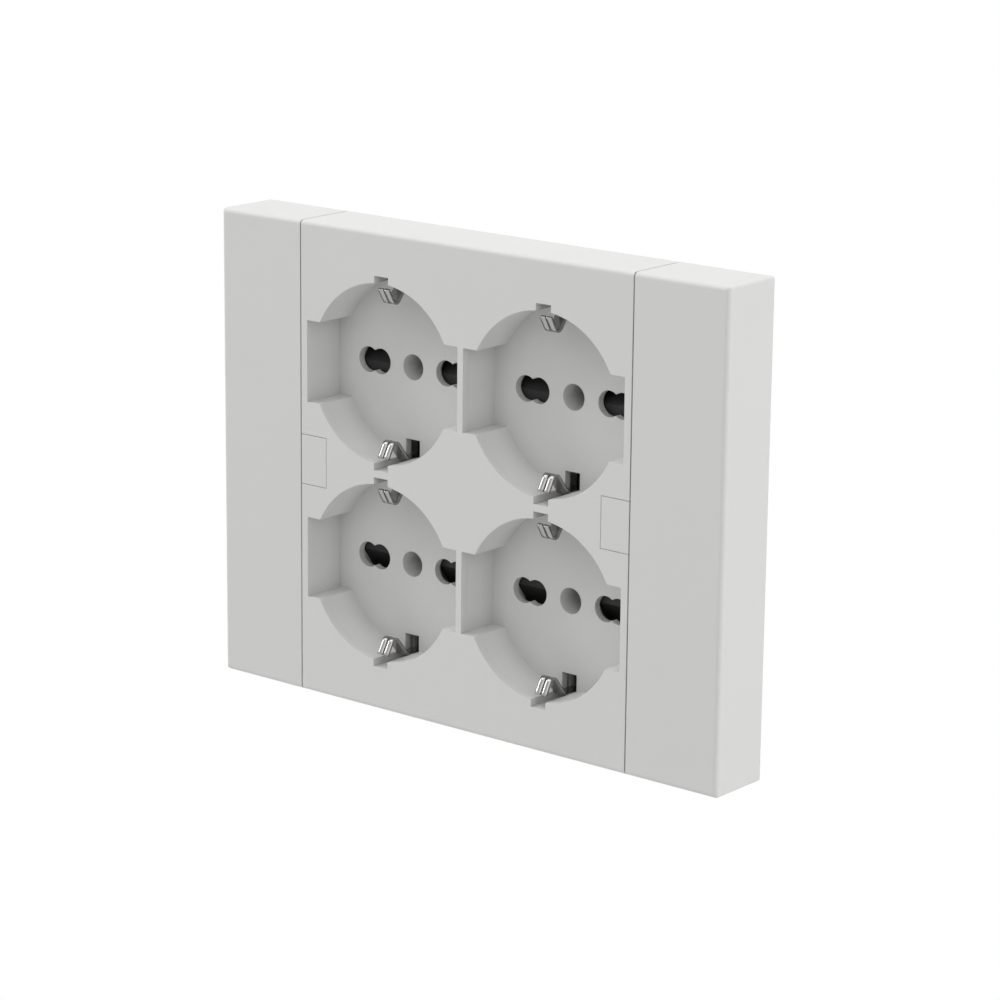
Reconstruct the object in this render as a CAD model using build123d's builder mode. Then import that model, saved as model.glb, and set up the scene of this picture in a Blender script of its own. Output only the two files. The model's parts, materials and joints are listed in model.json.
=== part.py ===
from build123d import *
from math import cos, pi, sin
import os

# Quad wall socket: a module with four universal wells, a blank cover on each side, and a contact
# tray that enters a three-module wall box. The origin is midway between the two wall screws, on the
# wall plane. X runs along the block, Z runs up, and the front faces -Y. Lengths are in millimetres.

# Block seen from the front
width = 140.0
height = 108.0
depth = 15.6
seam_gap = 0.3
edge_round = 1.0
corner_round = 0.6

# Mouldings
front_wall = 2.0
skirt = 2.0
module_side = 1.77
cover_inner_side = 1.5
base_plate = 1.8
base_gap = 0.25

# Wells
well_r = 20.2
well_depth = 10.8
well_wall = 1.6
well_web = 1.6
floor_wall = 1.8
slot_beyond = 1.5
slot_height = 18.5
notch_width = 4.0
aperture_reach = 3.8
body_gap = 0.1

# Pin holes, for plugs with 19 mm and 26 mm between live pins
pin_hole_r = 2.9
pin_near = 9.5
pin_far = 13.0
tube_wall = 1.0
tube_length = 4.9

# Shutters
slide_gap = 0.15
arm_inner = 6.3
arm_outer = 16.3
arm_lead = 4.2
ramp_start = 0.6
ramp_end = -5.2
ramp_tip = 0.55
bridge_width = 2.6
bridge_setback = 1.2
travel = 8.2
rail_gap = 0.2
rail_wall = 1.0

# Shutter springs
spring_r = 1.6
spring_wire = 0.4
spring_turns = 5
spring_steps = 6
peg_side = 1.6
peg_length = 2.0
stop_rib = 2.4

# Guide plate and contact tray
guide_wall = 1.4
tray_wall = 1.6
tray_beyond_height = 11.8
tray_beyond_width = 35.4
tray_back_wall = 1.6
tray_depth = 24.4
waist_cut = 3.6
waist_gap = 0.5
guide_window = 5.5
guide_gap = 0.1
cell_gap = 0.3
cell_wall = 1.1

# Contacts and busbars
contact_width = 8.6
contact_leaf = 0.6
contact_mouth = 2.9
contact_pinch = 1.75
contact_belly = 2.5
pinch_share = 0.3
pin_reach = 19.3
strip = 0.6
strip_width = 3.0
strip_gap = 0.2
frame_width = 1.2
tongue_gap = 0.7
grip_gap = 4.7
grip_width = 5.0
busbar = 0.8
busbar_width = 5.0
busbar_step = 1.8
busbar_gap = 0.1
link_offset = 9.0
link_width = 6.0

# Earth clips: distance behind the front face and distance inward from the well's wall
clip_tip = (0.9, 1.3)
clip_crest = (3.35, 5.5)
clip_bend = (7.9, -0.2)
clip_loop_back = 14.6
clip_loop_gap = 0.2
clip_pocket = 1.2
clip_crest_round = 1.2
clip_slit = 0.4
clip_slit_end = 4.4

# Terminals
terminal = 8.0
terminal_hole = 2.0
terminal_screw_r = 1.5
terminal_head_r = 2.3
terminal_head = 1.5
terminal_gap = 0.2
terminal_floor = 1.0
thread_share = 0.6
driver_slot = 0.7
driver_slot_depth = 0.8
head_gap = 0.4
wire_hole_r = 1.6
wire_funnel_r = 2.0
thread_gap = 0.05

# Wall screws and their caps
wall_screw_clear = 1.45
wall_screw_hole_r = 2.1
wall_access_r = 3.4
cap_width = 7.42
cap_height = 11.5
cap_wall = 1.6
cap_gap = 0.1
cap_tongue = 4.4
cap_tongue_length = 2.0
cap_pad = 2.4
cap_pad_edge = 2.0

# Screws that hold the base to the fascia, and the pegs of the side covers
boss_from_seam = 5.5
boss_from_top = 5.7
boss_side = 6.0
boss_screw_r = 1.3
boss_screw = 8.0
boss_head_r = 2.5
boss_head = 1.0
cover_peg_from_top = 18.0
cover_peg = 4.4
cover_tip = 3.0
cover_tip_gap = 0.15
cover_rib = 1.2
cover_rib_depth = 7.0

# Sizes that follow from these
slot_reach = well_r + slot_beyond
pitch = 2 * slot_reach + well_web
module_width = pitch + 2 * (slot_reach + module_side)
cover_start = module_width / 2 + seam_gap
cover_width = width / 2 - cover_start
floor_back = well_depth + floor_wall
base_front = depth - base_plate
tube_reach = pin_hole_r + tube_wall
tube_end = floor_back + tube_length
guide_front = tube_end + guide_gap
guide_back = guide_front + guide_wall
shutter_front = floor_back + slide_gap
shutter_back = guide_front - slide_gap
arm_middle = (arm_inner + arm_outer) / 2
rail_start = arm_outer + rail_gap
pin_middle = (pin_near + pin_far) / 2
pin_end = well_depth + pin_reach
tray_back = depth + tray_depth
tray_height = pitch + tray_beyond_height
tray_width = pitch + tray_beyond_width
waist_width = tray_width - 2 * waist_cut
shutter_lead = arm_lead + travel + bridge_width
waist_height = pitch - 2 * (shutter_lead + waist_gap)
neutral_level = pin_end + busbar_gap
line_level = neutral_level + busbar_step
earth_level = neutral_level - busbar_step
terminal_back = tray_back - tray_back_wall - terminal_gap
screw_x = waist_width / 2 + tray_wall + wall_screw_clear + wall_screw_hole_r
strip_front = floor_back + strip_gap
aperture_start = well_r - aperture_reach
clip_bend_at = well_r - clip_bend[1]
clip_loop_at = shutter_lead + clip_loop_gap + strip / 2
clip_root = clip_bend_at + strip / 2
boss_x = module_width / 2 - boss_from_seam
boss_z = height / 2 - boss_from_top
cover_peg_z = height / 2 - cover_peg_from_top
places = {
    "top_left": (-pitch / 2, pitch / 2),
    "top_right": (pitch / 2, pitch / 2),
    "bottom_left": (-pitch / 2, -pitch / 2),
    "bottom_right": (pitch / 2, -pitch / 2),
}
centres = list(places.values())


def level(behind_front):
    """Plane parallel to the wall, facing out, at a distance behind the front face."""
    return Plane.XZ.offset(depth - behind_front)


def toward_middle(z):
    """Direction along Z from a well to the middle of the block."""
    return -1 if z > 0 else 1


def well_plan(grow):
    """One well from the front: a circle, the two side slots and the two earth-clip notches."""
    with BuildSketch() as plan:
        Circle(well_r + grow)
        Rectangle(2 * (slot_reach + grow), slot_height + 2 * grow)
        Rectangle(notch_width + 2 * grow, 2 * (slot_reach + grow))
    return plan.sketch


def pin_plan(hole_r):
    """The two overlapping pairs of live pin holes of one well."""
    with BuildSketch() as plan:
        with Locations((-pin_far, 0), (-pin_near, 0), (pin_near, 0), (pin_far, 0)):
            Circle(hole_r)
    return plan.sketch


def body_plan(side):
    """Outside of one socket body; its slot ends at the fascia's side wall on the outer side."""
    with BuildSketch() as plan:
        add(well_plan(well_wall))
        inner_reach = (pitch - body_gap) / 2
        with Locations((side * (slot_reach - inner_reach) / 2, 0)):
            Rectangle(inner_reach + slot_reach, 2 * inner_reach, mode=Mode.INTERSECT)
    return plan.sketch


def clip_aperture_plan():
    """The two openings in a well's floor that the earth clips come through."""
    length = slot_reach - aperture_start
    with BuildSketch() as plan:
        with Locations((0, aperture_start + length / 2), (0, -aperture_start - length / 2)):
            Rectangle(notch_width, length)
    return plan.sketch


def tray_plan(inset):
    """The contact tray from the front, with a waist beside the posts of the wall box."""
    with BuildSketch() as plan:
        Rectangle(tray_width - 2 * inset, tray_height - 2 * inset)
        with Locations((tray_width / 2 - inset, 0), (inset - tray_width / 2, 0)):
            Rectangle(2 * waist_cut, waist_height + 2 * inset, mode=Mode.SUBTRACT)
    return plan.sketch


def rail_plan(toward):
    """The two rails behind a well's floor that guide its shutter."""
    length = shutter_lead - ramp_end
    middle = toward * (shutter_lead + ramp_end) / 2
    with BuildSketch() as plan:
        with Locations((rail_start + rail_wall / 2, middle), (-rail_start - rail_wall / 2, middle)):
            Rectangle(rail_wall, length)
    return plan.sketch


# Fascia: front plate with the mouths of the wells, skirts, cap pockets and screw bosses
well = well_plan(0)
pins = pin_plan(pin_hole_r)
apertures = clip_aperture_plan()
boss_places = [(x, z) for x in (-boss_x, boss_x) for z in (-boss_z, boss_z)]
cap_middle = (module_width - cap_width) / 2

with BuildPart() as fascia:
    with BuildSketch(level(0)):
        Rectangle(module_width, height)
    extrude(amount=-depth)
    fillet(fascia.edges().filter_by(Axis.X).group_by(Axis.Y)[0], edge_round)
    with BuildSketch(level(front_wall)):
        Rectangle(module_width - 2 * module_side, height - 2 * skirt)
    extrude(amount=-(depth - front_wall), mode=Mode.SUBTRACT)
    with BuildSketch(level(base_front)):
        Rectangle(module_width, height - 2 * skirt)
    extrude(amount=-base_plate, mode=Mode.SUBTRACT)
    # pads and pockets for the screw caps, and the way in for the wall screws
    with BuildSketch(level(front_wall)):
        with Locations((cap_middle - cap_pad_edge / 2, 0), (cap_pad_edge / 2 - cap_middle, 0)):
            Rectangle(cap_width + cap_pad_edge, cap_height + 2 * cap_pad_edge)
        with Locations(*centres):
            add(well_plan(well_wall), mode=Mode.SUBTRACT)
    extrude(amount=-cap_pad)
    with BuildSketch(level(0)):
        with Locations((cap_middle, 0), (-cap_middle, 0)):
            Rectangle(cap_width, cap_height)
    extrude(amount=-cap_wall, mode=Mode.SUBTRACT)
    with BuildSketch(level(cap_wall)):
        with Locations((screw_x, 0), (-screw_x, 0)):
            Circle(wall_access_r)
    extrude(amount=-(base_front - cap_wall), mode=Mode.SUBTRACT)
    # mouths of the wells
    with BuildSketch(level(0)):
        with Locations(*centres):
            add(well)
    extrude(amount=-front_wall, mode=Mode.SUBTRACT)
    # bosses for the screws that hold the base
    with BuildSketch(level(front_wall)):
        with Locations(*boss_places):
            Rectangle(boss_side, boss_side)
    extrude(amount=-(base_front - front_wall))
    with BuildSketch(level(base_front)):
        with Locations(*boss_places):
            Circle(boss_screw_r + thread_gap)
    extrude(amount=boss_screw, mode=Mode.SUBTRACT)

fascia.part.label = "fascia"


def socket_body(name, x, z):
    """Wall and floor of one well, with its earth tube and its shutter rails, welded behind the fascia."""
    side = 1 if x > 0 else -1
    with BuildPart() as body:
        with BuildSketch(level(front_wall)):
            with Locations((x, z)):
                add(body_plan(side))
        extrude(amount=-(floor_back - front_wall))
        with BuildSketch(level(front_wall)):
            with Locations((x, z)):
                add(well)
        extrude(amount=-(well_depth - front_wall), mode=Mode.SUBTRACT)
        with BuildSketch(level(floor_back)):
            with Locations((x, z)):
                Rectangle(2 * tube_reach, 2 * tube_reach)
                add(rail_plan(toward_middle(z)))
        extrude(amount=-tube_length)
        with BuildSketch(level(well_depth)):
            with Locations((x, z)):
                add(pins)
                add(apertures)
        extrude(amount=-floor_wall, mode=Mode.SUBTRACT)
        with BuildSketch(level(well_depth)):
            with Locations((x, z)):
                Circle(pin_hole_r)
        extrude(amount=-(floor_wall + tube_length), mode=Mode.SUBTRACT)
    body.part.label = name
    return body


def side_cover(side, name):
    """Blank cover beside the module; side is 1 on the right and -1 on the left."""
    middle = side * (cover_start + cover_width / 2)
    inner_width = cover_width - skirt - cover_inner_side
    inner_middle = side * (cover_start + cover_inner_side + inner_width / 2)
    pegs = [(inner_middle, z) for z in (-cover_peg_z, cover_peg_z)]
    with BuildPart() as cover:
        with BuildSketch(level(0)):
            with Locations((middle, 0)):
                Rectangle(cover_width, height)
        extrude(amount=-depth)
        outer = Axis.X if side > 0 else -Axis.X
        fillet(cover.faces().sort_by(outer)[-1].edges().filter_by(Axis.Y), corner_round)
        front = cover.faces().filter_by(Axis.Y).sort_by(Axis.Y)[0]
        seam_edge = front.edges().sort_by(outer)[0]
        fillet([edge for edge in front.edges() if edge != seam_edge], edge_round)
        with BuildSketch(level(front_wall)):
            with Locations((inner_middle, 0)):
                Rectangle(inner_width, height - 2 * skirt)
        extrude(amount=-(depth - front_wall), mode=Mode.SUBTRACT)
        with BuildSketch(level(base_front)):
            with Locations((inner_middle - side * skirt, 0)):
                Rectangle(inner_width + 2 * skirt, height - 2 * skirt)
        extrude(amount=-base_plate, mode=Mode.SUBTRACT)
        with BuildSketch(level(front_wall)):
            with Locations((inner_middle, cover_peg_z / 2), (inner_middle, -cover_peg_z / 2)):
                Rectangle(inner_width, cover_rib)
        extrude(amount=-cover_rib_depth)
        with BuildSketch(level(front_wall)):
            with Locations(*pegs):
                Rectangle(cover_peg, cover_peg)
        extrude(amount=-(base_front - front_wall))
        with BuildSketch(level(base_front)):
            with Locations(*pegs):
                Rectangle(cover_tip, cover_tip)
        extrude(amount=-(base_plate - slide_gap))
    cover.part.label = name
    return cover, pegs


cover_left, pegs_left = side_cover(-1, "side_cover_left")
cover_right, pegs_right = side_cover(1, "side_cover_right")


def screw_cap(side, name):
    """Flush cap over a wall screw, with a tongue in the screw's way in."""
    outer_edge = module_width / 2
    inner_edge = outer_edge - cap_width + cap_gap
    with BuildPart() as cap:
        with BuildSketch(level(0)):
            with Locations((side * (inner_edge + outer_edge) / 2, 0)):
                Rectangle(outer_edge - inner_edge, cap_height - 2 * cap_gap)
        extrude(amount=-cap_wall)
        with BuildSketch(level(cap_wall)):
            with Locations((side * screw_x, 0)):
                Rectangle(cap_tongue, cap_tongue)
        extrude(amount=-cap_tongue_length)
    cap.part.label = name
    return cap


cap_left = screw_cap(-1, "screw_cap_left")
cap_right = screw_cap(1, "screw_cap_right")


# Contact places: line contacts in the outer columns, neutral contacts in the inner ones
def line_x(x):
    """Column of a well's line contact."""
    return x + pin_middle if x > 0 else x - pin_middle


def neutral_x(x):
    """Column of a well's neutral contact."""
    return x - pin_middle if x > 0 else x + pin_middle


line_places = [(line_x(x), z) for x, z in centres]
neutral_places = [(neutral_x(x), z) for x, z in centres]
strip_length = pitch + busbar_width


def strips_plan(columns, link_z, link_w, grow):
    """Two upright strips joined by a link, as the line and neutral busbars are cut."""
    with BuildSketch() as plan:
        with Locations((columns, 0), (-columns, 0)):
            Rectangle(busbar_width + 2 * grow, strip_length + 2 * grow)
        with Locations((0, link_z)):
            Rectangle(2 * columns, link_w + 2 * grow)
    return plan.sketch


line_column = pitch / 2 + pin_middle
neutral_column = pitch / 2 - pin_middle
line_plan = strips_plan(line_column, link_offset, link_width, 0)
neutral_plan = strips_plan(neutral_column, 0, link_width, 0)
terminal_places = {"line": (0, link_offset), "neutral": (0, 0), "earth": (0, -link_offset)}
terminal_levels = {"line": line_level, "neutral": neutral_level, "earth": earth_level}
tray_inner = tray_plan(0)
tray_outer = tray_plan(-tray_wall)
cell_width = contact_width + 2 * cell_gap
cell_height = 2 * (contact_mouth + contact_leaf / 2 + cell_gap)

# Base: the plate on the wall, the tray behind it and the cells that hold the contacts
with BuildPart() as base:
    with BuildSketch(level(base_front)):
        Rectangle(width - 2 * (skirt + base_gap), height - 2 * (skirt + base_gap))
    extrude(amount=-base_plate)
    with BuildSketch(level(depth)):
        add(tray_outer)
    extrude(amount=-tray_depth)
    with BuildSketch(level(base_front)):
        add(tray_inner)
    extrude(amount=-(base_plate + tray_depth - tray_back_wall), mode=Mode.SUBTRACT)
    with BuildSketch(level(guide_back)):
        with Locations(*line_places, *neutral_places):
            Rectangle(cell_width + 2 * cell_wall, cell_height + 2 * cell_wall)
            Rectangle(cell_width, cell_height, mode=Mode.SUBTRACT)
    extrude(amount=-(tray_back - tray_back_wall - guide_back))
    with BuildSketch(level(guide_back)):
        add(strips_plan(line_column, link_offset, link_width, cell_gap))
    extrude(amount=-(line_level + busbar - guide_back), mode=Mode.SUBTRACT)
    with BuildSketch(level(guide_back)):
        add(strips_plan(neutral_column, 0, link_width, cell_gap))
    extrude(amount=-(neutral_level + busbar - guide_back), mode=Mode.SUBTRACT)
    # holes for the wall screws
    with BuildSketch(level(depth)):
        with Locations((screw_x, 0), (-screw_x, 0)):
            Circle(wall_screw_hole_r)
    extrude(amount=base_plate, mode=Mode.SUBTRACT)
    # pockets for the loops of the outer earth clips
    with BuildSketch(level(base_front)):
        for x, z in centres:
            with Locations((x, z - toward_middle(z) * (clip_loop_at + clip_bend_at) / 2)):
                Rectangle(notch_width, clip_bend_at - clip_loop_at + notch_width - strip_width + strip)
    extrude(amount=-clip_pocket, mode=Mode.SUBTRACT)
    # holes for the pegs of the side covers
    with BuildSketch(level(depth)):
        with Locations(*pegs_left, *pegs_right):
            Rectangle(cover_tip + 2 * cover_tip_gap, cover_tip + 2 * cover_tip_gap)
    extrude(amount=base_plate, mode=Mode.SUBTRACT)
    # ways in for wires and for the driver of the clamp screws
    with BuildSketch(level(tray_back)):
        for x, z in terminal_places.values():
            with Locations((x + terminal_hole, z)):
                Circle(terminal_head_r + head_gap)
            with Locations((x - terminal_hole, z)):
                Circle(wire_funnel_r)
    extrude(amount=tray_back_wall, mode=Mode.SUBTRACT)
    # stepped holes for the screws that hold the fascia
    with BuildSketch(level(depth)):
        with Locations(*boss_places):
            Circle(boss_screw_r + thread_gap)
    extrude(amount=base_plate, mode=Mode.SUBTRACT)
    with BuildSketch(level(depth)):
        with Locations(*boss_places):
            Circle(boss_head_r + cell_gap)
    extrude(amount=boss_head, mode=Mode.SUBTRACT)

base.part.label = "base"

# Guide plate: closes the tray in front of the contacts and stops the shutter springs
with BuildPart() as guide_plate:
    with BuildSketch(level(guide_front)):
        add(tray_plan(slide_gap))
        with Locations(*centres):
            Rectangle(2 * pin_hole_r, 2 * pin_hole_r, mode=Mode.SUBTRACT)
        with Locations(*line_places, *neutral_places):
            Rectangle(pin_far - pin_near + guide_window, guide_window, mode=Mode.SUBTRACT)
        for x, z in centres:
            away = -toward_middle(z)
            tongue_z = z + away * (tube_reach + tongue_gap + strip / 2)
            with Locations((x, tongue_z)):
                Rectangle(strip_width + 2 * strip_gap, strip + 2 * strip_gap, mode=Mode.SUBTRACT)
    extrude(amount=-guide_wall)
    with BuildSketch(level(guide_front)):
        Rectangle(waist_width - 2 * slide_gap, stop_rib)
    extrude(amount=guide_front - shutter_front)

guide_plate.part.label = "guide_plate"


def side_points(points, z, toward):
    """Points given as (behind the front, along the shutter's way) on a plane across X."""
    return [(behind - depth, z + toward * along) for behind, along in points]


def shutter(name, x, z):
    """Slider behind the four live pin holes of a well, open round the earth tube."""
    toward = toward_middle(z)
    ramp = [
        (shutter_front, arm_lead),
        (shutter_front, ramp_start),
        (shutter_back - ramp_tip, ramp_end),
        (shutter_back, ramp_end),
        (shutter_back, arm_lead),
    ]
    bridge = [
        (shutter_front + bridge_setback, arm_lead),
        (shutter_front + bridge_setback, arm_lead + bridge_width),
        (shutter_back, arm_lead + bridge_width),
        (shutter_back, arm_lead),
    ]
    with BuildPart() as slider:
        for start in (x - arm_outer, x + arm_inner):
            with BuildSketch(Plane.YZ.offset(start)):
                with BuildLine():
                    Polyline(*side_points(ramp, z, toward), close=True)
                make_face()
            extrude(amount=arm_outer - arm_inner)
        with BuildSketch(Plane.YZ.offset(x - arm_inner - bridge_width)):
            with BuildLine():
                Polyline(*side_points(bridge, z, toward), close=True)
            make_face()
        extrude(amount=2 * (arm_inner + bridge_width))
        spring_level = (shutter_front + shutter_back) / 2 - depth
        for peg_x in (x - arm_middle, x + arm_middle):
            with BuildSketch(Plane.XY.offset(z + toward * arm_lead)):
                with Locations((peg_x, spring_level)):
                    Rectangle(peg_side, peg_side)
            extrude(amount=toward * peg_length)
    slider.part.label = name
    return slider


def coil_points(coil_x, spring_level, low, length):
    """Points along a coil that stands on its low end."""
    points = []
    for step in range(spring_turns * spring_steps + 1):
        turn = 2 * pi * step / spring_steps
        rise = length * step / (spring_turns * spring_steps)
        points.append((coil_x + spring_r * cos(turn), spring_level + spring_r * sin(turn), low + rise))
    return points


def shutter_springs(name, x, z):
    """Two compression springs between a shutter and the stop rib of the guide plate."""
    toward = toward_middle(z)
    start = z + toward * arm_lead
    length = abs(start) - stop_rib / 2 - spring_wire - 2 * thread_gap
    low = min(start, toward * -stop_rib / 2) + spring_wire / 2 + thread_gap
    spring_level = (shutter_front + shutter_back) / 2 - depth
    with BuildPart() as springs:
        for coil_x in (x - arm_middle, x + arm_middle):
            with BuildLine():
                coil = Polyline(*coil_points(coil_x, spring_level, low, length))
            with BuildSketch(Plane(origin=coil @ 0, z_dir=coil % 0)):
                Rectangle(spring_wire, spring_wire)
            sweep(path=coil, transition=Transition.RIGHT)
    springs.part.label = name
    return springs


def pin_contact(name, x, z, tail_level):
    """Sprung contact with two leaves that grip a live pin at either pitch."""
    mouth = guide_back + cell_gap
    pinch_at = mouth + (pin_end - mouth) * pinch_share
    web = neutral_level - contact_leaf / 2
    leaf = [
        (mouth, contact_mouth),
        (pinch_at, contact_pinch),
        (web - contact_belly, contact_belly),
        (web, contact_belly),
    ]
    with BuildPart() as contact:
        with BuildSketch(Plane.YZ.offset(x - contact_width / 2)):
            with BuildLine():
                upper = side_points(leaf, z, 1)
                lower = side_points(leaf, z, -1)
                Polyline(*upper, *reversed(lower))
            trace(line_width=contact_leaf)
        extrude(amount=contact_width)
        if tail_level > neutral_level:
            with BuildSketch(level(neutral_level)):
                with Locations((x, z)):
                    Rectangle(busbar_width, busbar)
            extrude(amount=-(tail_level - neutral_level))
    contact.part.label = name
    return contact


def clip_line(side):
    """Centre line of an earth clip, from its free tip to the loop behind the floor and the strip."""
    strip_middle = strip_front + strip / 2
    seen = [(behind, well_r - inward) for behind, inward in (clip_tip, clip_crest, clip_bend)]
    loop_end = (clip_loop_back, clip_bend_at)
    hidden = [
        loop_end,
        (clip_loop_back, clip_loop_at),
        (strip_middle, clip_loop_at),
        (strip_middle, tube_reach),
    ]
    return side_points([*seen, loop_end], 0, side), side_points(hidden, 0, side)


def earth_contact(name, x, z):
    """Strip with a clip at each end, a frame round the earth tube and two leaves for the earth pin."""
    away = -toward_middle(z)
    grip_front = guide_back + strip_gap
    tongue_near = tube_reach + tongue_gap
    frame_inside = 2 * (tube_reach + strip_gap)
    with BuildPart() as contact:
        for side in (-1, 1):
            seen, hidden = clip_line(side)
            with BuildSketch(Plane.YZ.offset(-strip_width / 2)):
                with BuildLine():
                    FilletPolyline(*seen, radius=clip_crest_round)
                    Polyline(*hidden)
                trace(line_width=strip)
            extrude(amount=strip_width)
        with BuildSketch(level(strip_front)):
            Rectangle(frame_inside + 2 * frame_width, frame_inside + 2 * frame_width)
        extrude(amount=-strip)
        with BuildSketch(level(strip_front)):
            Rectangle(frame_inside, frame_inside)
        extrude(amount=-strip, mode=Mode.SUBTRACT)
        with BuildSketch(level(0)):
            with Locations((0, clip_root), (0, -clip_root)):
                Rectangle(clip_slit, 2 * (clip_root - aperture_start + clip_crest_round))
        extrude(amount=-clip_slit_end, mode=Mode.SUBTRACT)
        # tongue through the guide plate, and the two leaves behind it
        with BuildSketch(level(strip_front)):
            with Locations((0, away * (tongue_near + strip / 2))):
                Rectangle(strip_width, strip)
        extrude(amount=-(grip_front + strip - strip_front))
        with BuildSketch(level(grip_front)):
            with Locations((0, away * (tongue_near + strip + grip_gap / 2) / 2)):
                Rectangle(strip_width, tongue_near + strip - grip_gap / 2)
        extrude(amount=-strip)
        with BuildSketch(level(grip_front)):
            with Locations((-strip / 2, 0)):
                Rectangle(grip_width + strip, grip_gap + 2 * strip)
            Rectangle(grip_width, grip_gap, mode=Mode.SUBTRACT)
        extrude(amount=-(earth_level - grip_front))
    contact.part.label = name
    contact.part.position = (x, 0, z)
    return contact


socket_parts = []
for place, (x, z) in places.items():
    socket_parts.append(socket_body("socket_body_" + place, x, z))
    socket_parts.append(shutter("shutter_" + place, x, z))
    socket_parts.append(shutter_springs("shutter_springs_" + place, x, z))
    socket_parts.append(pin_contact("line_contact_" + place, line_x(x), z, line_level))
    socket_parts.append(pin_contact("neutral_contact_" + place, neutral_x(x), z, neutral_level))
    socket_parts.append(earth_contact("earth_contact_" + place, x, z))

# Busbars: flat strips at three levels
with BuildPart() as line_busbar:
    with BuildSketch(level(line_level)):
        add(line_plan)
    extrude(amount=-busbar)

with BuildPart() as neutral_busbar:
    with BuildSketch(level(neutral_level)):
        add(neutral_plan)
    extrude(amount=-busbar)

with BuildPart() as earth_busbar:
    with BuildSketch(level(earth_level)):
        with Locations((pitch / 2, 0), (-pitch / 2, 0)):
            Rectangle(busbar_width, pitch)
        with Locations((0, -link_offset)):
            Rectangle(pitch, link_width)
        with Locations(*centres):
            Rectangle(grip_width + 2 * (strip + frame_width), grip_gap + 2 * (strip + frame_width))
            Rectangle(grip_gap, grip_gap, mode=Mode.SUBTRACT)
    extrude(amount=-busbar)

line_busbar.part.label = "line_busbar"
neutral_busbar.part.label = "neutral_busbar"
earth_busbar.part.label = "earth_busbar"


def wire_terminal(name):
    """Brass block behind a busbar, with a wire hole and a threaded hole for the clamp screw."""
    x, z = terminal_places[name]
    front = terminal_levels[name] + busbar
    with BuildPart() as block:
        with BuildSketch(level(front)):
            with Locations((x, z)):
                Rectangle(terminal, terminal)
        extrude(amount=-(terminal_back - front))
        with BuildSketch(level(terminal_back)):
            with Locations((x + terminal_hole, z)):
                Circle(terminal_screw_r + thread_gap)
            with Locations((x - terminal_hole, z)):
                Circle(wire_hole_r)
        extrude(amount=terminal_back - front - terminal_floor, mode=Mode.SUBTRACT)
    block.part.label = name + "_terminal"
    return block


terminals = [wire_terminal(name) for name in terminal_places]

# Clamp screws of the three terminals
with BuildPart() as terminal_screws:
    for name, (x, z) in terminal_places.items():
        length = (terminal_back - terminal_levels[name] - busbar) * thread_share
        with BuildSketch(level(terminal_back)):
            with Locations((x + terminal_hole, z)):
                Circle(terminal_screw_r)
        extrude(amount=length)
        with BuildSketch(level(terminal_back)):
            with Locations((x + terminal_hole, z)):
                Circle(terminal_head_r)
        extrude(amount=-terminal_head)
        with BuildSketch(level(terminal_back + terminal_head)):
            with Locations((x + terminal_hole, z)):
                Rectangle(2 * (terminal_head_r + head_gap), driver_slot)
        extrude(amount=driver_slot_depth, mode=Mode.SUBTRACT)

terminal_screws.part.label = "terminal_screws"

# Screws that hold the base to the fascia
with BuildPart() as assembly_screws:
    with BuildSketch(level(depth)):
        with Locations(*boss_places):
            Circle(boss_head_r)
    extrude(amount=boss_head)
    with BuildSketch(level(depth)):
        with Locations(*boss_places):
            Circle(boss_screw_r)
    extrude(amount=boss_screw)
    with BuildSketch(level(depth)):
        with Locations(*boss_places):
            Rectangle(2 * (boss_head_r + cell_gap), driver_slot)
    extrude(amount=driver_slot_depth, mode=Mode.SUBTRACT)

assembly_screws.part.label = "assembly_screws"

# Write one file for each piece
os.makedirs("parts", exist_ok=True)
pieces = [fascia, cover_left, cover_right, cap_left, cap_right, base, guide_plate]
pieces += socket_parts
pieces += [line_busbar, neutral_busbar, earth_busbar]
pieces += terminals
pieces += [terminal_screws, assembly_screws]
for piece in pieces:
    export_step(piece.part, "parts/" + piece.part.label + ".step")
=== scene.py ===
import json
import math

import bpy
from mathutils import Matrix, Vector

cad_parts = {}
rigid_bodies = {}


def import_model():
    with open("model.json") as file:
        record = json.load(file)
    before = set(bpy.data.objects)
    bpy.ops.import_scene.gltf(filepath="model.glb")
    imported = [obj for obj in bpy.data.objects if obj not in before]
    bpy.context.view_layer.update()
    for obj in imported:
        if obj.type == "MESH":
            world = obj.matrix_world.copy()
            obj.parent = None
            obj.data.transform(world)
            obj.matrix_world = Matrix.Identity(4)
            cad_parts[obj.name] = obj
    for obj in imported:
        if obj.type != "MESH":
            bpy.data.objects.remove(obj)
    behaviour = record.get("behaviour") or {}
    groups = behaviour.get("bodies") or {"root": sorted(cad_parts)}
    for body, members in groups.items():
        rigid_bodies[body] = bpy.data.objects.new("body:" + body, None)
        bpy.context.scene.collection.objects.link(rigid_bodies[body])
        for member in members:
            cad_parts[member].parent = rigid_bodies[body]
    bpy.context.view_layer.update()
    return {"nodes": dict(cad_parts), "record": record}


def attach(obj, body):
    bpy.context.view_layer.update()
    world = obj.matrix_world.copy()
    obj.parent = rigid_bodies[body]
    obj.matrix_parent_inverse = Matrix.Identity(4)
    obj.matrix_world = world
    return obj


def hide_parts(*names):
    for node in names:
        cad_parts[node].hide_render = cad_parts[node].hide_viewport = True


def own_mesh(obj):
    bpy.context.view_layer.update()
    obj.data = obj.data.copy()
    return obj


# Looks of a quad wall socket: an off-white moulded block with four wells, seen from the front right
# and a little above, on a plain white ground. Lengths are in metres, turns in degrees and powers in
# watts. Texture scales are in waves per metre.

# Camera, fitted to the photograph
CAMERA_PLACE = (0.46929, -0.57732, 0.18559)
CAMERA_TURN = (75.6462, -0.5861, 39.3373)
LENS_MM = 126.0
SENSOR_MM = 36.0

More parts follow.
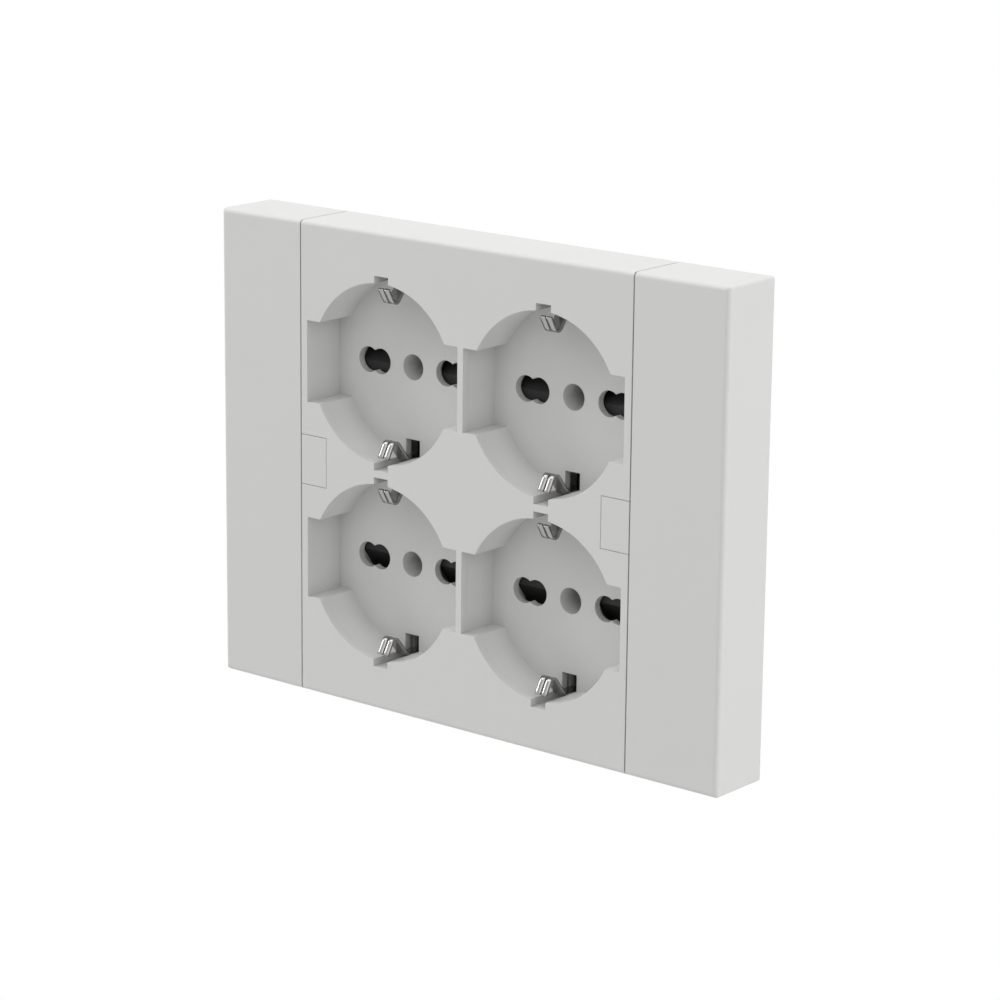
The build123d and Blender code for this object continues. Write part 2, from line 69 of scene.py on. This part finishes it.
# Edges that the shading rounds: the radius on plastic, metal and clips, and how finely it is found
EDGE_SAMPLES = 6
CLIP_SAMPLES = 24
PLASTIC_ROUND = 0.00025
METAL_ROUND = 0.0001
CLIP_ROUND = 0.0008

# Painted shade in inner corners: how far out it reaches, and by how much it darkens the colour at
# most
PAINTED_SHADE_REACH = 0.005
PAINTED_SHADE_DEPTH = 0.26

# Surface detail
TONE_DETAIL = 4.0
TONE_ROUGHNESS = 0.55
GRAIN_ROUGHNESS = 0.6
RELIEF_HEIGHT = 0.00002
PLASTIC_TONE = 60.0
PLASTIC_GRAIN = 2600.0
PLASTIC_GRAIN_DETAIL = 3.0
PLASTIC_RELIEF = 0.35
PLASTIC_IOR = 1.46
METAL_TONE = 300.0
METAL_GRAIN = 900.0
METAL_GRAIN_DETAIL = 5.0
METAL_RELIEF = 0.25
CLIP_GRAIN = 350.0
CLIP_RELIEF = 0.05

# Ground and surroundings
FLOOR_DROP = 0.6
FLOOR_SIZE = 14.0
FLOOR_COLOUR = (0.8, 0.8, 0.8)
FLOOR_ROUGHNESS = 0.9
WORLD_STRENGTH = 0.41
WHITE_STRENGTH = 1.0
WHITE_RAYS = ("Is Camera Ray", "Is Glossy Ray", "Is Transmission Ray")

# Square soft boxes, aimed at the origin: place, width and power
SOFT_BOXES = {
    "key_box": ((-1.35, -0.5, 0.52), 0.5, 5.6),
    "top_box": ((0.1, 0.5, 1.1), 1.0, 3.8),
    "right_box": ((1.2, 0.5, 0.3), 1.0, 6.2),
    "front_box": ((0.3, -0.9, 1.1), 1.25, 4.2),
    "side_box": ((1.3, -0.7, 0.4), 1.0, 2.5),
    "left_box": ((-0.7, -0.3, 1.3), 1.0, 6.4),
}

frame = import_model()
nodes = frame["nodes"]


def new_material(name):
    """Material with its node tree and its shader."""
    material = bpy.data.materials.new(name)
    material.use_nodes = True
    tree = material.node_tree
    return material, tree, tree.nodes["Principled BSDF"]


def noise(tree, scale, detail=TONE_DETAIL, roughness=TONE_ROUGHNESS):
    """Noise in object coordinates, so that it keeps its real size on every piece."""
    place = tree.nodes.new("ShaderNodeTexCoord")
    mapping = tree.nodes.new("ShaderNodeMapping")
    mapping.inputs["Scale"].default_value = (scale, scale, scale)
    tree.links.new(place.outputs["Object"], mapping.inputs["Vector"])
    node = tree.nodes.new("ShaderNodeTexNoise")
    node.inputs["Scale"].default_value = 1.0
    node.inputs["Detail"].default_value = detail
    node.inputs["Roughness"].default_value = roughness
    tree.links.new(mapping.outputs["Vector"], node.inputs["Vector"])
    return node.outputs["Fac"]


def ramp(tree, value, low, high):
    """A value between 0 and 1 turned into a number between low and high."""
    node = tree.nodes.new("ShaderNodeMapRange")
    node.inputs["To Min"].default_value = low
    node.inputs["To Max"].default_value = high
    tree.links.new(value, node.inputs["Value"])
    return node.outputs["Result"]


def blend_colours(tree, value, one, two):
    """Colour between two others by a value between 0 and 1."""
    node = tree.nodes.new("ShaderNodeMix")
    node.data_type = "RGBA"
    node.inputs["A"].default_value = one + (1.0,)
    node.inputs["B"].default_value = two + (1.0,)
    tree.links.new(value, node.inputs["Factor"])
    return node.outputs["Result"]


def bump(tree, shader, heights, strength, edge, samples):
    """Fine relief, over edges rounded by a radius."""
    soft = tree.nodes.new("ShaderNodeBevel")
    soft.samples = samples
    soft.inputs["Radius"].default_value = edge
    node = tree.nodes.new("ShaderNodeBump")
    node.inputs["Strength"].default_value = strength
    node.inputs["Distance"].default_value = RELIEF_HEIGHT
    tree.links.new(soft.outputs["Normal"], node.inputs["Normal"])
    tree.links.new(heights, node.inputs["Height"])
    tree.links.new(node.outputs["Normal"], shader.inputs["Normal"])


def painted_corner_shade(tree, colour):
    """Colour darkened by painted shade in inner corners, where a moulding loses light."""
    corner = tree.nodes.new("ShaderNodeAmbientOcclusion")
    corner.samples = EDGE_SAMPLES
    corner.inputs["Distance"].default_value = PAINTED_SHADE_REACH
    scale = tree.nodes.new("ShaderNodeVectorMath")
    scale.operation = "SCALE"
    tree.links.new(colour, scale.inputs[0])
    share = ramp(tree, corner.outputs["AO"], 1.0 - PAINTED_SHADE_DEPTH, 1.0)
    tree.links.new(share, scale.inputs["Scale"])
    return scale.outputs[0]


def moulded_plastic(name, one, two, rough_low, rough_high):
    """Moulded plastic with a fine spark-eroded grain, a faint change of tone and painted shade in
    inner corners.
    """
    material, tree, shader = new_material(name)
    colour = blend_colours(tree, noise(tree, PLASTIC_TONE), one, two)
    # Base colour with painted shade that darkens the inner corners
    tree.links.new(painted_corner_shade(tree, colour), shader.inputs["Base Color"])
    fine = noise(tree, PLASTIC_GRAIN, PLASTIC_GRAIN_DETAIL, GRAIN_ROUGHNESS)
    tree.links.new(ramp(tree, fine, rough_low, rough_high), shader.inputs["Roughness"])
    bump(tree, shader, fine, PLASTIC_RELIEF, PLASTIC_ROUND, EDGE_SAMPLES)
    shader.inputs["IOR"].default_value = PLASTIC_IOR
    return material


def metal(
    name, one, two, rough_low, rough_high,
    grain=METAL_GRAIN, relief=METAL_RELIEF, edge=METAL_ROUND, samples=EDGE_SAMPLES,
):
    """Rolled or drawn metal with faint scratches and a change of gloss."""
    material, tree, shader = new_material(name)
    shader.inputs["Metallic"].default_value = 1.0
    tone = noise(tree, METAL_TONE)
    tree.links.new(blend_colours(tree, tone, one, two), shader.inputs["Base Color"])
    fine = noise(tree, grain, METAL_GRAIN_DETAIL, GRAIN_ROUGHNESS)
    tree.links.new(ramp(tree, fine, rough_low, rough_high), shader.inputs["Roughness"])
    bump(tree, shader, fine, relief, edge, samples)
    return material


# Each finish of the record: two tones that it wavers between, then its lowest and highest roughness
finishes = {
    "white_plastic": moulded_plastic(
        "white_plastic", (0.715, 0.718, 0.700), (0.735, 0.738, 0.722), 0.42, 0.55
    ),
    "grey_plastic": moulded_plastic(
        "grey_plastic", (0.70, 0.70, 0.69), (0.74, 0.74, 0.73), 0.40, 0.55
    ),
    "black_plastic": moulded_plastic(
        "black_plastic", (0.010, 0.010, 0.010), (0.016, 0.016, 0.016), 0.45, 0.60
    ),
    "nickel": metal(
        "nickel", (0.35, 0.346, 0.333), (0.40, 0.396, 0.383), 0.15, 0.19,
        grain=CLIP_GRAIN, relief=CLIP_RELIEF, edge=CLIP_ROUND, samples=CLIP_SAMPLES,
    ),
    "brass": metal("brass", (0.68, 0.50, 0.22), (0.76, 0.58, 0.28), 0.22, 0.38),
    "zinc_steel": metal("zinc_steel", (0.58, 0.59, 0.60), (0.66, 0.67, 0.68), 0.22, 0.36),
    "spring_steel": metal("spring_steel", (0.50, 0.50, 0.51), (0.60, 0.60, 0.61), 0.18, 0.30),
}


def dress(part, material):
    """Gives a piece one material."""
    part.data.materials.clear()
    part.data.materials.append(material)


def build_springs():
    """Copies of the springs, each with a mesh of its own, hung on their joint's parent body in
    place of the hidden originals.
    """
    for joint in frame["record"]["behaviour"]["joints"]:
        for spring in joint["deforming_nodes"]:
            name = spring["node"]
            coils = nodes[name].copy()
            coils.name = name + "_coils"
            coils.data = nodes[name].data.copy()
            bpy.context.collection.objects.link(coils)
            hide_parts(name)
            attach(coils, joint["parent"])
            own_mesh(coils)


def show_white(tree, plain, white, output):
    """Sends white to the output for the rays that see it, and plain for all other light."""
    path = tree.nodes.new("ShaderNodeLightPath")
    seen = path.outputs[WHITE_RAYS[0]]
    for ray in WHITE_RAYS[1:]:
        either = tree.nodes.new("ShaderNodeMath")
        either.operation = "MAXIMUM"
        tree.links.new(seen, either.inputs[0])
        tree.links.new(path.outputs[ray], either.inputs[1])
        seen = either.outputs[0]
    mix = tree.nodes.new("ShaderNodeMixShader")
    tree.links.new(seen, mix.inputs[0])
    tree.links.new(plain.outputs[0], mix.inputs[1])
    tree.links.new(white.outputs[0], mix.inputs[2])
    tree.links.new(mix.outputs[0], tree.nodes[output].inputs[0])


def build_floor():
    """Pale floor far below the block, white to the camera and to reflections."""
    half = FLOOR_SIZE / 2
    mesh = bpy.data.meshes.new("floor")
    corners = [(-half, -half, 0), (half, -half, 0), (half, half, 0), (-half, half, 0)]
    mesh.from_pydata(corners, [], [(0, 1, 2, 3)])
    floor = bpy.data.objects.new("floor", mesh)
    floor.location.z = -FLOOR_DROP
    bpy.context.collection.objects.link(floor)
    material, tree, shader = new_material("floor")
    shader.inputs["Base Color"].default_value = FLOOR_COLOUR + (1.0,)
    shader.inputs["Roughness"].default_value = FLOOR_ROUGHNESS
    glow = tree.nodes.new("ShaderNodeEmission")
    glow.inputs["Strength"].default_value = WHITE_STRENGTH
    show_white(tree, shader, glow, "Material Output")
    dress(floor, material)


def build_world():
    """White surroundings for the camera and reflections, and a plain soft fill for the rest."""
    world = bpy.data.worlds.new("studio")
    bpy.context.scene.world = world
    world.use_nodes = True
    tree = world.node_tree
    fill = tree.nodes["Background"]
    fill.inputs["Color"].default_value = (1.0, 1.0, 1.0, 1.0)
    fill.inputs["Strength"].default_value = WORLD_STRENGTH
    white_ground = tree.nodes.new("ShaderNodeBackground")
    white_ground.inputs["Strength"].default_value = WHITE_STRENGTH
    show_white(tree, fill, white_ground, "World Output")


def build_lights():
    """Square soft boxes round the block."""
    for name, (place, width, power) in SOFT_BOXES.items():
        light = bpy.data.lights.new(name, "AREA")
        light.shape = "SQUARE"
        light.size = width
        light.energy = power
        lamp = bpy.data.objects.new(name, light)
        lamp.location = place
        toward_origin = -Vector(place)
        lamp.rotation_euler = toward_origin.to_track_quat("-Z", "Y").to_euler()
        bpy.context.collection.objects.link(lamp)


def build_camera():
    """Camera at the photograph's place."""
    camera = bpy.data.cameras.new("camera")
    camera.lens = LENS_MM
    camera.sensor_width = SENSOR_MM
    eye = bpy.data.objects.new("camera", camera)
    eye.location = CAMERA_PLACE
    eye.rotation_euler = [math.radians(turn) for turn in CAMERA_TURN]
    bpy.context.collection.objects.link(eye)
    bpy.context.scene.camera = eye


for entry in frame["record"]["subparts"]:
    dress(nodes[entry["node"]], finishes[entry["material_slot"]])

build_springs()
build_floor()
build_world()
build_lights()
build_camera()
bpy.context.scene.view_settings.view_transform = "Standard"
